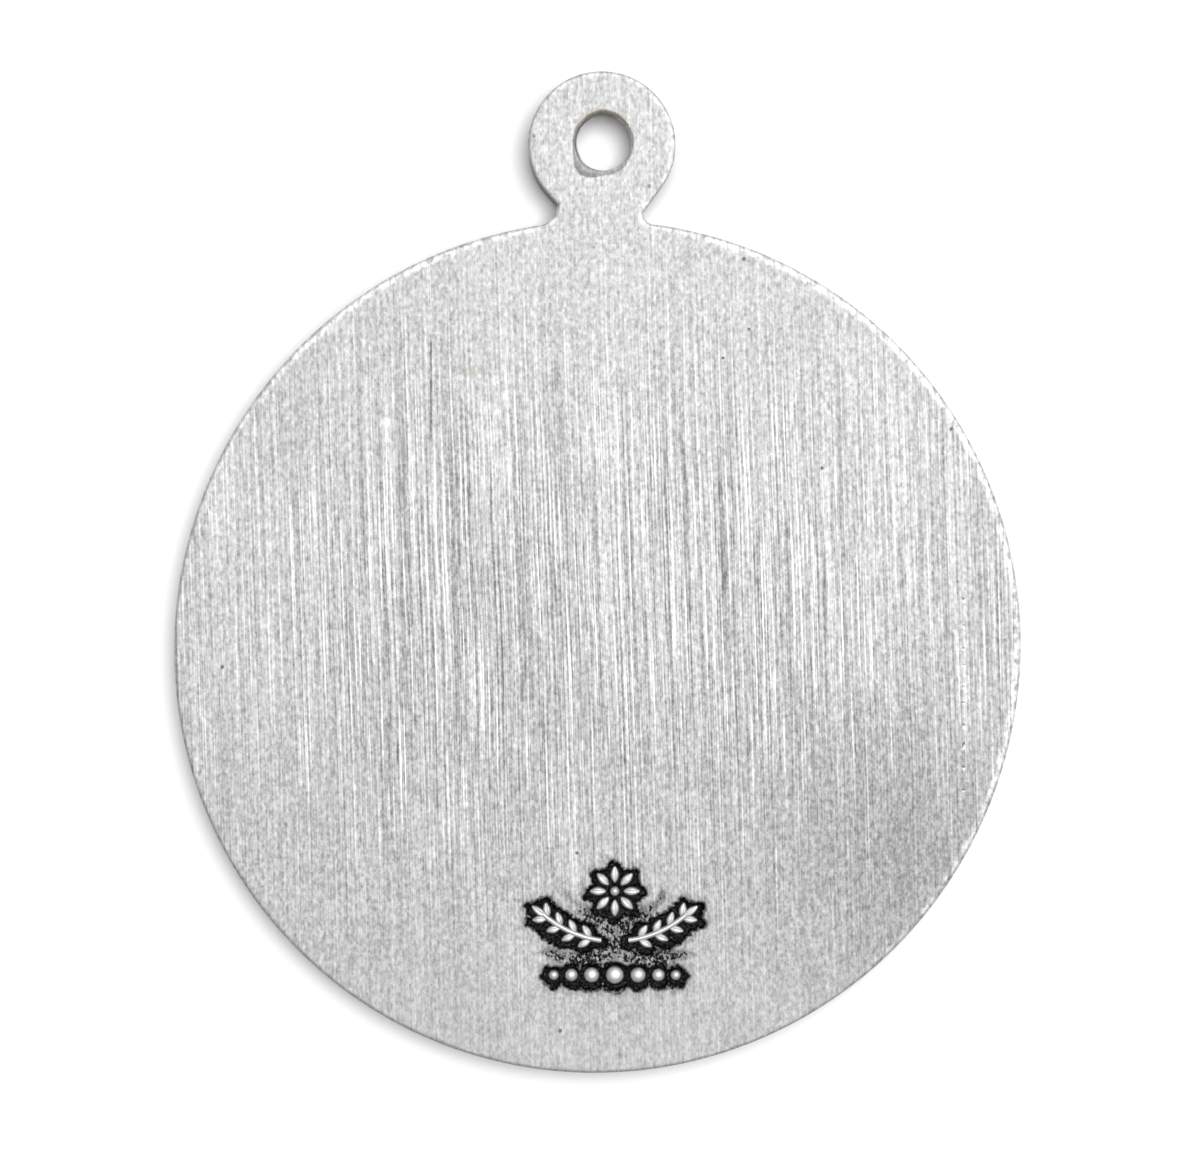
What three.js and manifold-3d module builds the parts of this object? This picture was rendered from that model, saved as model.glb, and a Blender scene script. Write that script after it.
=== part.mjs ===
// Round silver medal pendant, struck in one piece with the loop that it hangs from.
// It lies on its front: +Z is up out of the brushed back,
// +Y points from the disc to the loop, and the origin is the middle of its outline on the table.
// Lengths are in millimetres and angles in degrees.
import * as THREE from "three";
import { mergeVertices } from "three/addons/utils/BufferGeometryUtils.js";
import Module from "manifold-3d";

// Disc and edge
const discRadius = 10.5;
const thickness = 1.5;
const edgeRound = 0.15;
const discSides = 132;

// Front: a plain flat field sunk inside a raised rim
const rimWidth = 0.85;
const fieldDepth = 0.3;
const fieldDraft = 0.12;

// Loop, trimmed slightly to one side, and the neck that carries it
const loopRadius = 1.815;
const loopGap = 0.195;
const loopAside = 0.11;
const neckLeft = 1.1;
const neckRight = 1.01;
const filletLeft = 0.53;
const filletRight = 0.3;
const loopSides = 44;
const filletSides = 6;

// Bore for the jump ring, with a mouth on the back that is worn towards the lower left
const boreRadius = 0.72;
const boreAside = 0.01;
const boreRaise = 0.05;
const boreSides = 36;
const mouthRadius = 0.82;
const mouthLeft = 0.1;
const mouthDown = 0.12;
const mouthDepth = 0.3;
const frontMouthWiden = 0.08;
const frontMouthDepth = 0.1;

// Ornament raised in the blackened pocket near the foot of the back
const pocketDepth = 0.17;
const pocketMargin = 0.18;
const reliefSunk = 0.02;
const reliefRoot = 0.05;
const reliefRound = 0.04;
const markFromEdge = 2.1;
const markAside = 0.43;

// Rosette: a ring of petals round a boss
const petalCount = 8;
const petalLength = 0.46;
const petalWidth = 0.24;
const petalInner = 0.19;
const bossRadius = 0.14;

// Leafy sprigs that curve up and outwards below the rosette, one on each side
const sprigRadius = 2.7;
const sprigDrop = 1.24;
const sprigFoot = 0.34;
const sprigLength = 1.6;
const stemWidth = 0.1;
const leafPairs = 4;
const leafSetback = 0.4;
const leafLength = 0.42;
const tipLeafLength = 0.54;
const leafWidth = 0.19;
const leafAngle = 44;

// Row of beads below the sprigs, largest in the middle
const beadDrop = 0.84;
const beadRadius = 0.26;
const beadShrink = 0.035;
const beadGap = 0.09;
const beadsEachSide = 3;

// Fineness of the small shapes
const leafSides = 6;
const beadSides = 16;
const reliefSteps = 2;
const edgeSteps = 3;
const overcut = 0.5;
const weldDistance = 1e-4;

const deg = Math.PI / 180;
const loopDistance = discRadius + loopGap + loopRadius;
const discY = -(loopDistance + loopRadius - discRadius) / 2;
const loop = { x: loopAside, y: discY + loopDistance };
const bore = { x: loop.x + boreAside, y: loop.y + boreRaise };
const mouth = { x: bore.x - mouthLeft, y: bore.y - mouthDown };
const fieldRadius = discRadius - rimWidth;
const beadRow = { x: markAside, y: discY - discRadius + markFromEdge + beadRadius };
const sprigLowest = { x: markAside, y: beadRow.y + beadDrop };
const rosette = { x: markAside, y: sprigLowest.y + sprigDrop };

const wasm = await Module();
wasm.setup();

// A closed three.js geometry as a solid that can be cut and joined.
function solid(geometry) {
  geometry.deleteAttribute("normal");
  geometry.deleteAttribute("uv");
  const merged = mergeVertices(geometry, weldDistance);
  const vertProperties = new Float32Array(merged.attributes.position.array);
  const triVerts = new Uint32Array(merged.index.array);
  return new wasm.Manifold(new wasm.Mesh({ numProp: 3, vertProperties, triVerts }));
}

// The finished solid as a flat-shaded geometry.
function geometryOf(made) {
  const mesh = made.getMesh();
  const geometry = new THREE.BufferGeometry();
  geometry.setAttribute("position", new THREE.BufferAttribute(new Float32Array(mesh.vertProperties), 3));
  geometry.setIndex(new THREE.BufferAttribute(new Uint32Array(mesh.triVerts), 1));
  const flat = geometry.toNonIndexed();
  flat.computeVertexNormals();
  return flat;
}

// Points on an arc from one angle to another, in radians, both ends included.
function arc(x, y, radius, from, to, sides) {
  const points = [];
  for (let i = 0; i <= sides; i++) {
    const angle = from + ((to - from) * i) / sides;
    points.push(new THREE.Vector2(x + radius * Math.cos(angle), y + radius * Math.sin(angle)));
  }
  return points;
}

// One side of the neck: its fillet's centre, the notch where it meets the loop's straight flank,
// and the angle at which that flank leaves the loop. The side is 1 on the right and -1 on the left.
function neckSide(side, reach, fillet) {
  const notchX = loop.x + side * reach;
  const centreX = notchX + side * fillet;
  const rise = Math.sqrt((discRadius + fillet) ** 2 - centreX ** 2);
  const notchY = discY + rise;
  const away = Math.hypot(notchX - loop.x, notchY - loop.y);
  const toNotch = Math.atan2(notchY - loop.y, notchX - loop.x);
  const flank = toNotch + side * Math.acos(loopRadius / away);
  return { x: centreX, y: notchY, fillet, touch: Math.atan2(rise, centreX), flank };
}

// The medal seen from above, anticlockwise: the disc, a fillet, the loop and the other fillet.
function outline() {
  const right = neckSide(1, neckRight, filletRight);
  const left = neckSide(-1, neckLeft, filletLeft);
  const turn = 2 * Math.PI;
  const disc = arc(0, discY, discRadius, left.touch, turn + right.touch, discSides);
  const up = arc(right.x, right.y, right.fillet, Math.PI + right.touch, Math.PI, filletSides);
  const over = arc(loop.x, loop.y, loopRadius, right.flank, left.flank + turn, loopSides);
  const down = arc(left.x, left.y, left.fillet, 0, left.touch - Math.PI, filletSides);
  return [...disc, ...up.slice(1), ...over, ...down.slice(0, -1)];
}

// A flat shape raised from one height to another, with its upper and lower edges rounded.
function rounded(points, from, to, round, steps) {
  const geometry = new THREE.ExtrudeGeometry(new THREE.Shape(points), {
    depth: to - from - 2 * round,
    bevelThickness: round,
    bevelSize: round,
    bevelOffset: -round,
    bevelSegments: steps,
  });
  return geometry.translate(0, 0, from + round);
}

// A flat shape raised from one height to another with square edges.
function prism(points, from, to) {
  const shape = new THREE.Shape(points);
  const geometry = new THREE.ExtrudeGeometry(shape, { depth: to - from, bevelEnabled: false });
  return geometry.translate(0, 0, from);
}

// A turned shape about a vertical axis, from rows of radius and height listed upwards.
function turned(rows, sides, x, y) {
  const profile = rows.map(([radius, height]) => new THREE.Vector2(radius, height));
  return new THREE.LatheGeometry(profile, sides).rotateX(Math.PI / 2).translate(x, y, 0);
}

// The sunk field of the front, with a drafted wall inside the rim.
function fieldCut() {
  const rows = [
    [0, -overcut],
    [fieldRadius, -overcut],
    [fieldRadius, 0],
    [fieldRadius - fieldDraft, fieldDepth],
    [0, fieldDepth],
  ];
  return turned(rows, discSides / 2, 0, discY);
}

// The bore, widened a little where it opens on the front.
function boreCut() {
  const rows = [
    [0, -overcut],
    [boreRadius + frontMouthWiden, -overcut],
    [boreRadius + frontMouthWiden, 0],
    [boreRadius, frontMouthDepth],
    [boreRadius, thickness + overcut],
    [0, thickness + overcut],
  ];
  return turned(rows, boreSides, bore.x, bore.y);
}

// The worn mouth on the back: a shallow cone set off from the bore, so that it shows on one side.
function mouthCut() {
  const rows = [
    [0, thickness - mouthDepth],
    [mouthRadius, thickness],
    [mouthRadius, thickness + overcut],
    [0, thickness + overcut],
  ];
  return turned(rows, boreSides, mouth.x, mouth.y);
}

// A leaf from tip to tip between two arcs, grown by a margin, turned and set in place.
function leafShape({ x, y, length, width, turn }, margin = 0) {
  const half = length / 2 + margin;
  const wide = width / 2 + margin;
  const radius = (half ** 2 / wide + wide) / 2;
  const lean = Math.asin(half / radius);
  const offset = radius - wide;
  const upper = arc(0, -offset, radius, Math.PI / 2 - lean, Math.PI / 2 + lean, leafSides);
  const lower = arc(0, offset, radius, -Math.PI / 2 - lean, -Math.PI / 2 + lean, leafSides);
  const points = [...upper, ...lower.slice(1, -1)];
  const centre = new THREE.Vector2();
  return points.map((p) => p.rotateAround(centre, turn * deg).add(new THREE.Vector2(x, y)));
}

function beadShape({ x, y, radius }, margin = 0) {
  return arc(x, y, radius + margin, 0, 2 * Math.PI, beadSides).slice(0, -1);
}

// A stem bent along a sprig's curve, from one angle to another.
function stemShape({ from, to }, margin = 0) {
  const half = stemWidth / 2 + margin;
  const past = margin / sprigRadius;
  const x = sprigLowest.x;
  const y = sprigLowest.y + sprigRadius;
  const outer = arc(x, y, sprigRadius + half, from - past, to + past, leafSides);
  const inner = arc(x, y, sprigRadius - half, to + past, from - past, leafSides);
  return [...outer, ...inner];
}

// A leaf that grows from a point, away from it in the direction given.
function leafFrom(x, y, turn, length, width) {
  const along = length / 2;
  const middle = { x: x + along * Math.cos(turn * deg), y: y + along * Math.sin(turn * deg) };
  return { shape: leafShape, ...middle, length, width, turn };
}

function rosetteMotifs() {
  const motifs = [{ shape: beadShape, ...rosette, radius: bossRadius }];
  for (let i = 0; i < petalCount; i++) {
    const turn = 90 + (360 * i) / petalCount;
    const x = rosette.x + petalInner * Math.cos(turn * deg);
    const y = rosette.y + petalInner * Math.sin(turn * deg);
    motifs.push(leafFrom(x, y, turn, petalLength, petalWidth));
  }
  return motifs;
}

// One sprig, on the right for a side of 1 and on the left for -1: a stem, leaves in pairs and a tip leaf.
function sprigMotifs(side) {
  const start = Math.asin(sprigFoot / sprigRadius);
  const sweep = sprigLength / sprigRadius;
  const ends = [start, start + sweep].map((angle) => -Math.PI / 2 + side * angle);
  const motifs = [{ shape: stemShape, from: Math.min(...ends), to: Math.max(...ends) }];
  for (let i = 1; i <= leafPairs; i++) {
    const angle = start + (sweep * (i - leafSetback)) / leafPairs;
    const x = sprigLowest.x + side * sprigRadius * Math.sin(angle);
    const y = sprigLowest.y + sprigRadius * (1 - Math.cos(angle));
    const along = side > 0 ? angle / deg : 180 - angle / deg;
    motifs.push(leafFrom(x, y, along + leafAngle, leafLength, leafWidth));
    motifs.push(leafFrom(x, y, along - leafAngle, leafLength, leafWidth));
    if (i === leafPairs) motifs.push(leafFrom(x, y, along, tipLeafLength, leafWidth));
  }
  return motifs;
}

function beadMotifs() {
  const motifs = [{ shape: beadShape, ...beadRow, radius: beadRadius }];
  let offset = 0;
  for (let i = 1; i <= beadsEachSide; i++) {
    const radius = beadRadius - beadShrink * i;
    offset += 2 * radius + beadShrink + beadGap;
    motifs.push({ shape: beadShape, x: beadRow.x + offset, y: beadRow.y, radius });
    motifs.push({ shape: beadShape, x: beadRow.x - offset, y: beadRow.y, radius });
  }
  return motifs;
}

function struckMedal() {
  const motifs = [...rosetteMotifs(), ...sprigMotifs(1), ...sprigMotifs(-1), ...beadMotifs()];
  const top = thickness - reliefSunk;
  const floor = thickness - pocketDepth;
  const pockets = motifs.map((m) => solid(prism(m.shape(m, pocketMargin), floor, thickness + overcut)));
  const reliefs = motifs.map((m) => {
    return solid(rounded(m.shape(m), floor - reliefRoot - reliefRound, top, reliefRound, reliefSteps));
  });
  const blank = solid(rounded(outline(), 0, thickness, edgeRound, edgeSteps));
  const cuts = [fieldCut(), boreCut(), mouthCut()].map(solid);
  const pocketed = wasm.Manifold.difference([blank, ...cuts, ...pockets]);
  return wasm.Manifold.union([pocketed, ...reliefs]);
}

const silver = new THREE.MeshStandardMaterial({ color: 0xd6d6d6, roughness: 0.38, metalness: 1 });

const pendant = new THREE.Group();
const medal = new THREE.Mesh(geometryOf(struckMedal()), silver);
medal.name = "medal";
pendant.add(medal);

export default pendant;
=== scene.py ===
"""Round silver medal pendant, lying on its front with the brushed back up.

Sizes are millimetres and become metres where a mesh is made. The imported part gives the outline's
main sizes and the thickness, and the rest repeats the part's own values.
"""
import math
import bmesh
import bpy
import numpy as np
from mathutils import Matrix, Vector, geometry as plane_geometry


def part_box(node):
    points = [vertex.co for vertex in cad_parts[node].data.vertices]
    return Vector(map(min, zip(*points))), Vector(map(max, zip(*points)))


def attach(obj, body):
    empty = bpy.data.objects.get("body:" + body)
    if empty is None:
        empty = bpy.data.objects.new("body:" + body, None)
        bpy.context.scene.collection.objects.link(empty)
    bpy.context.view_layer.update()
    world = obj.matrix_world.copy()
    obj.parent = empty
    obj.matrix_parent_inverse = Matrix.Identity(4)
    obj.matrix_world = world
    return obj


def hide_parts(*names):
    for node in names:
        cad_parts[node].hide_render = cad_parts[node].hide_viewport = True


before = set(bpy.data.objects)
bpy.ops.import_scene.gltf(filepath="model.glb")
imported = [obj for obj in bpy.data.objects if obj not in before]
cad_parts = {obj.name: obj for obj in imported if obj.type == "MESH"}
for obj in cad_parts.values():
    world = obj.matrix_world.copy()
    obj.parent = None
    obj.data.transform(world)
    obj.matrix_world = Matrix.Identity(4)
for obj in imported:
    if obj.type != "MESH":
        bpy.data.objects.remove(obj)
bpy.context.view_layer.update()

MM = 0.001
WELD = 0.0005
LOW, HIGH = (np.array(corner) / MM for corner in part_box("medal"))

# Disc, loop and neck
DISC_RADIUS = (HIGH[0] - LOW[0]) / 2
DISC_Y = LOW[1] + DISC_RADIUS
THICKNESS = HIGH[2]
LOOP_RADIUS = 1.83
LOOP_X = 0.105
LOOP_Y = HIGH[1] - 1.88
NECK_LEFT = 1.1
NECK_RIGHT = 1.01
FILLET_LEFT = 0.53
FILLET_RIGHT = 0.3
DISC_SPREAD = 0.03
OUT_OF_ROUND = 0.045
LONG_WAY = math.radians(66)

# Edges: the upper one is worn flat and wider on the right, and the loop's left flank was cut aslant.
# Directions are in degrees, anticlockwise from +X.
EDGE_ROUND = 0.09
EDGE_WORN = 0.085
EDGE_WORN_LOOP = 0.03
EDGE_FALL = 0.42
EDGE_FALL_WORN = 0.28
EDGE_DENTS = 0.016
# The upper edge is worn widest where it faces the light, and there it also carries a painted highlight;
# edges turned from the light carry painted shade with some tarnish.
WORN_AND_LIT_TURN = 55
SHADE_AND_TARNISH_TURN = 240
LEFT_FLANK = 218
LEFT_SLANT = 0.018
RIGHT_FLANK = 320
RIGHT_UNDERCUT = 0.05
SUPPORT = 0.05

# Where the loop's wear takes over from the disc's, as heights above the top of the disc
LOOP_START = (-0.5, 0.1)

# How far edges may turn away from a direction: cosines at which what it brings (wear with a painted
# highlight, painted shade with tarnish, the flanks' slant and stain, or painted shade in the bore) ends
# and fully shows
WORN_AND_LIT_REACH = (-0.6, 0.3)
SHADE_AND_TARNISH_REACH = (0.35, 1.0)
FLANK_REACH = (0.73, 0.99)
BORE_SHADE_REACH = (-0.1, 0.5)
BORE_TOP_SHADE_REACH = (0.3, 0.9)

# Bore: drilled slightly aslant, its mouth worn deepest at the lower left
BORE_RADIUS = 0.705
BORE_X = LOOP_X + 0.028
BORE_Y = LOOP_Y + 0.07
BORE_DRIFT = (0.03, 0.1)
BORE_TAPER = 0.02
LIP = 0.032
MOUTH_WEAR = {"lower_left": (235, 0.22, 0.45), "foot": (290, 0.07, 0.55), "head": (85, 0.05, 0.6)}
# The bore's wall towards the upper left and the top of its mouth are darkened as painted shade, turned
# from the light.
BORE_SHADE_TURN = 135
BORE_TOP_SHADE_TURN = 75
FRONT_MOUTH = 0.08

# Front: the plain field inside its rim
RIM_WIDTH = 0.85
FIELD_DEPTH = 0.3
FIELD_DRAFT = 0.12
FIELD_SHOULDER = 0.08

# Pocket and ornament
POCKET_DEPTH = 0.17
POCKET_REACH = 0.07
POCKET_SLOPE = 0.11
POCKET_FALL = 0.045
POCKET_GAP = (0.34, 0.66)
GAP_SUNK = 0.25
GAP_OXIDE = 0.58
SMUDGE = 0.4
SMUDGE_OXIDE = 0.25
POCKET_CELL = 0.026

# Unevenness of the pocket: size of its cells, depth, and seed
RAGGED_EDGE = {"broad": (0.16, 0.06, 3), "fine": (0.06, 0.035, 4)}
RAGGED_GAP = (0.2, 0.08, 8)
GRIT = {"fine": (0.05, 0.014, 5), "broad": (0.11, 0.012, 6)}

RELIEF_SUNK = 0.015
RELIEF_ROOT = 0.03
MARK_X = 0.43
BEAD_FROM_EDGE = 2.36
BEAD_DROP = 0.84
BEAD_RADIUS = 0.26
BEAD_SHRINK = 0.035
BEAD_GAP = 0.09
BEADS_EACH_SIDE = 3
SPRIG_RADIUS = 2.7
SPRIG_DROP = 1.24
SPRIG_FOOT = 0.34
SPRIG_LENGTH = 1.6
STEM_WIDTH = 0.14
LEAF_PAIRS = 4
LEAF_SETBACK = 0.4
LEAF_LENGTH = 0.42
LEAF_WIDTH = 0.26
TIP_LEAF_LENGTH = 0.54
LEAF_ANGLE = math.radians(44)
PETAL_COUNT = 8
PETAL_LENGTH = 0.46
PETAL_WIDTH = 0.28
PETAL_INNER = 0.19
BOSS_RADIUS = 0.14

BEAD_Y = DISC_Y - DISC_RADIUS + BEAD_FROM_EDGE
SPRIG_Y = BEAD_Y + BEAD_DROP
ROSETTE_Y = SPRIG_Y + SPRIG_DROP
POCKET_FLOOR = THICKNESS - POCKET_DEPTH
SPRIG_START = math.asin(SPRIG_FOOT / SPRIG_RADIUS)
SPRIG_SWEEP = SPRIG_LENGTH / SPRIG_RADIUS

# Picture
PHOTO_WIDTH = 1200
PHOTO_HEIGHT = 1153
PIXEL = 0.024793
DISC_PIXEL = (597.5, 647.0)
CAMERA_HEIGHT = 130.0
SENSOR = 36.0
FLOOR_HALF = 400

# Light: the surround's strength by height, and a key that leans from the vertical towards a turn
# anticlockwise from +X
SURROUND_LOW = 1.1
SURROUND_HIGH = 0.1
SURROUND_BAND = (0.2, 0.72)
KEY_STRENGTH = 2.7
KEY_WIDTH = math.radians(27.2)
KEY_LEAN = math.radians(8.8)
KEY_TURN = math.radians(37.5)

# Brushing: how far it leans sideways for each unit of height, and how far it sways from that
BRUSH_SLOPE = 0.03
BRUSH_SWAY = 0.14

# Where the belt pressed: from one place to the next, the streaks' share goes from one value to another
WORKED_FOOT = (-10.5, -3.0, 0.0, 1.0)
WORKED_TOP = (0.5, 8.0, 1.0, 0.0)
WORKED_LEFT = (-9.0, -4.0, 0.42, 1.0)
WORKED_RIGHT = (5.0, 9.0, 1.0, 0.6)
WORKED_LOW_RIGHT = 0.5
UNWORKED = 0.2
CALM_FOOT = (-12.5, -8.0, 0.75, 1.0)

# Depths below the back between which its streaks, grain and marks fade out
STREAK_FADE = (0.16, 0.06)
GRAIN_FADE = (0.25, 0.1)
GRAIN_ON_SIDES = 0.3
MARK_FADE = (0.3, 0.1)
RELIEF_FADE = (0.1, 0.01)

# Noise on the silver: cells in a millimetre across and along the brushing, detail, and seed
GRAIN = {
    "lines": (19.0, 0.07, 1.0, 1.37),
    "hairs": (21.0, 1.1, 2.0, 33.19),
    "fine": (15.0, 9.0, 2.0, 43.47),
    "blotch": (8.0, 3.0, 2.0, 53.29),
    "patch": (0.4, 0.25, 2.0, 63.83),
    "sway": (0.2, 0.12, 1.0, 83.41),
    "chatter": (1.7, 1.7, 1.0, 17.9),
    "wear_sheen_and_shade": (7.0, 5.0, 2.0, 19.7),
    "speckle": (15.0, 12.0, 2.0, 41.3),
    "oxide": (22.0, 20.0, 1.0, 91.7),
    "tarnish": (3.0, 3.0, 3.0, 71.3),
    "relief": (12.0, 12.0, 3.0, 5.0),
}

# Scratches: cells in a millimetre across and along the brushing, seed, and the part of a cell within
# which a scratch is full and beyond which it ends
SCRATCHES = {
    "bright": (10.0, 0.11, 3.73, 0.04, 0.25),
    "glints": (12.0, 0.4, 13.19, 0.04, 0.25),
    "dark": (14.0, 0.7, 23.61, 0.06, 0.36),
}

# Lightness of the silver: its level without any pattern, and what each pattern adds
PLAIN_TONE = 0.33
TONE_OF = {
    "lines": 1.0,
    "hairs": 0.45,
    "bright": 0.38,
    "glints": 0.15,
    "dark": -0.12,
    "fine": 0.75,
    "blotch": 0.3,
    "patch": 0.07,
    "wear_sheen_and_shade": 0.6,
    "oxide": -0.7,
    "speck": -0.7,
    "scratch": -0.3,
}

# Colours in sRGB, pairs from dark to light
SILVER = ("727272", "ececec")
DRILLED_SILVER = "f4f4f4"
RELIEF_SILVER = ("b4b4b4", "d8d8d8")
OXIDE = ("0e0e0e", "3c3c3a")
RELIEF_OXIDE = "161616"
TARNISH_AND_SHADE_GREENS = ("60635a", "85887d")
TARNISHED_TINT = "404040"
BROWN_STAIN = "9c9482"
BORE_LIP_REFLECTION = "aa9a7e"
RED_STAIN = "6a5a60"
FLOOR = "f9f9f9"
WHITE = "ffffff"

# How strongly the stains and the painted warm reflection show, and where that reflection round the head of
# the bore lies, from its middle
STAIN_SHARE = 0.35
RED_SHARE = 0.7
LIP_REFLECTION_UP = 0.04
LIP_REFLECTION_WIDTH = (0.07, 0.13)
LIP_REFLECTION_RISE = (0.3, 0.55)

# Oxide: how ragged its edge is, and the amounts between which it starts and becomes solid
OXIDE_SPECKLE = 1.8
OXIDE_STARTS = (0.12, 0.3)
OXIDE_SOLID = (0.42, 0.6)

# Roughness: of the darkest silver, what light tones and the drill's wall add, and tarnished
SATIN = 0.665
LIGHT_TONE = -0.1
DRILLING = -0.36
TARNISHED = 0.95
RELIEF_ROUGH = 0.65
FLOOR_ROUGH = 0.9

# Depth of the grain and of the relief's unevenness
BUMP_STRENGTH = 0.3
GRAIN_DEPTH = 0.006
RELIEF_DEPTH = 0.01
BLACK_SINKS = -0.3

# Marks of wear on the back, and broad painted reflections on it: place in the photograph and radius, in
# its pixels. The painted reflections, lighter towards the top, the left and the loop and darker at the
# lower right, end with what they add to the lightness, and each chatter mark is a dark tick with a bright
# one beside it.
DARK_SPECKS = {
    "upper_right": (744, 259, 2.4),
    "right_of_middle": (749, 329, 1.7),
    "above_middle": (723, 358, 1.7),
    "middle": (822, 468, 1.9),
    "right_edge": (951, 429, 2.0),
    "left_edge": (222, 667, 2.0),
    "foot": (560, 1031, 2.2),
    "above_ornament": (577, 853, 1.8),
}
RED_SPECKS = {"loop_left": (534, 136, 2.2), "neck_right": (649, 186, 2.4)}
BROAD_REFLECTIONS = {
    "low_right": (885, 860, 220, -0.1),
    "top": (640, 150, 800, 0.09),
    "left": (190, 560, 300, 0.04),
    "loop": (600, 150, 110, 0.03),
}
SPECK_FADE = (0.2, 1.3)
RED_FADE = (0.3, 1.4)

# Upright marks: place in the photograph, then half their width and their soft sides and ends in mm
SCRATCH = {"x": 431, "top": 345, "bottom": 430, "half_width": 0.01, "fade": (0.03, 0.3)}
STAIN = {"x": 474, "top": 370.5, "bottom": 373.5, "half_width": 11 * PIXEL, "fade": (0.1, 0.05)}
CHATTER = {"x": 963.5, "top": 590, "bottom": 800, "half_width": 0.015, "fade": (0.035, 0.1)}
CHATTER_PITCH = 20.6
CHATTER_DRIFT = 0.6
CHATTER_TICK = (0.005, 0.045)
CHATTER_TONES = {"dark": (0.0, -0.34), "bright": (0.055, 0.3)}


def linear(code):
    """An sRGB hex colour as linear red, green, blue and alpha."""
    shares = [int(code[i : i + 2], 16) / 255 for i in (0, 2, 4)]
    return (*[s / 12.92 if s <= 0.04045 else ((s + 0.055) / 1.055) ** 2.4 for s in shares], 1.0)


def add_node(tree, kind, inputs=None, **settings):
    """Adds a node with its settings. inputs maps a socket to a value, or to a socket to link from."""
    made = tree.nodes.new(kind)
    for name, value in settings.items():
        setattr(made, name, value)
    for key, value in (inputs or {}).items():
        if isinstance(value, bpy.types.NodeSocket):
            tree.links.new(value, made.inputs[key])
        else:
            made.inputs[key].default_value = value
    return made


def new_object(name, data):
    made = bpy.data.objects.new(name, data)
    bpy.context.scene.collection.objects.link(made)
    return made


def soft_step(value, low, high):
    share = np.clip((value - low) / (high - low), 0, 1)
    return share * share * (3 - 2 * share)


# Outline of the medal

def arc(x, y, radius, start, end, steps):
    angles = np.linspace(start, end, steps + 1)
    return np.stack([x + radius * np.cos(angles), y + radius * np.sin(angles)], axis=1)


def neck_side(side, reach, fillet):
    """One side of the neck: the fillet's centre, where it touches the disc, and where the loop begins."""
    notch_x = LOOP_X + side * reach
    centre_x = notch_x + side * fillet
    rise = math.sqrt((DISC_RADIUS + fillet) ** 2 - centre_x**2)
    notch_y = DISC_Y + rise
    away = math.hypot(notch_x - LOOP_X, notch_y - LOOP_Y)
    to_notch = math.atan2(notch_y - LOOP_Y, notch_x - LOOP_X)
    flank = to_notch + side * math.acos(LOOP_RADIUS / away)
    return centre_x, notch_y, math.atan2(rise, centre_x), flank


def medal_outline():
    """The medal from above, anticlockwise: the disc, a fillet, the loop and the other fillet."""
    turn = 2 * math.pi
    right_x, right_y, right_touch, right_flank = neck_side(1, NECK_RIGHT, FILLET_RIGHT)
    left_x, left_y, left_touch, left_flank = neck_side(-1, NECK_LEFT, FILLET_LEFT)
    disc = arc(0, DISC_Y, DISC_RADIUS, left_touch, turn + right_touch, 420)
    up = arc(right_x, right_y, FILLET_RIGHT, math.pi + right_touch, math.pi, 10)
    over = arc(LOOP_X, LOOP_Y, LOOP_RADIUS, right_flank, left_flank + turn, 96)
    down = arc(left_x, left_y, FILLET_LEFT, 0, left_touch - math.pi, 14)
    loop = np.concatenate([disc, up[1:], over, down[:-1]])
    ray = loop - (0, DISC_Y)
    away = np.linalg.norm(ray, axis=1, keepdims=True)
    angle = np.arctan2(ray[:, 1:], ray[:, :1])
    bulge = DISC_SPREAD + OUT_OF_ROUND * np.cos(2 * (angle - LONG_WAY))
    return loop + ray / away * bulge * (1 - soft_step(away, DISC_RADIUS, DISC_RADIUS + 2.0))


def outward(loop):
    """Outward directions of an anticlockwise loop, lengthened at corners to keep an offset parallel."""
    ahead = np.roll(loop, -1, axis=0) - loop
    ahead /= np.linalg.norm(ahead, axis=1, keepdims=True)
    behind = np.roll(ahead, 1, axis=0)
    normal = np.stack([ahead[:, 1] + behind[:, 1], -ahead[:, 0] - behind[:, 0]], axis=1)
    normal /= np.linalg.norm(normal, axis=1, keepdims=True)
    square = np.stack([ahead[:, 1], -ahead[:, 0]], axis=1)
    return normal / np.maximum((normal * square).sum(axis=1, keepdims=True), 0.5)


def wobble(angle, seed, amounts):
    """A soft, repeatable unevenness round a loop: one sine for each whole number of waves."""
    chance = np.random.default_rng(seed)
    total = np.zeros_like(angle)
    for waves, amount in amounts.items():
        total += amount * np.sin(waves * angle + chance.uniform(0, 2 * math.pi))
    return total


def rings(loop, rows):
    """Copies of a loop, each moved inwards and set at a height. rows are pairs of inset and height."""
    direction = outward(loop)
    made = []
    for inset, height in rows:
        flat = loop - direction * np.reshape(inset, (-1, 1))
        level = np.broadcast_to(np.reshape(height, (-1, 1)), (len(loop), 1))
        made.append(np.concatenate([flat, level], axis=1))
    return made


def rounding(steps):
    """Shares of an edge's radius, inwards and upwards, from its side to its top."""
    angles = [math.pi / 2 * i / steps for i in range(steps + 1)]
    return [(1 - math.cos(a), math.sin(a)) for a in angles]


def within(points, loop):
    """True for each point that lies inside a closed loop."""
    x, y = points[:, 0:1], points[:, 1:2]
    ax, ay = loop[:, 0], loop[:, 1]
    bx, by = np.roll(ax, -1), np.roll(ay, -1)
    crosses = (ay > y) != (by > y)
    reach = ax + (y - ay) * (bx - ax) / np.where(by == ay, 1e-12, by - ay)
    return (crosses & (x < reach)).sum(axis=1) % 2 == 1


def quads(low, high, size):
    """Faces between two rings of equal size, from the numbers of their first points."""
    pairs = [(i, (i + 1) % size) for i in range(size)]
    return [(low + i, low + j, high + j, high + i) for i, j in pairs]


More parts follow.
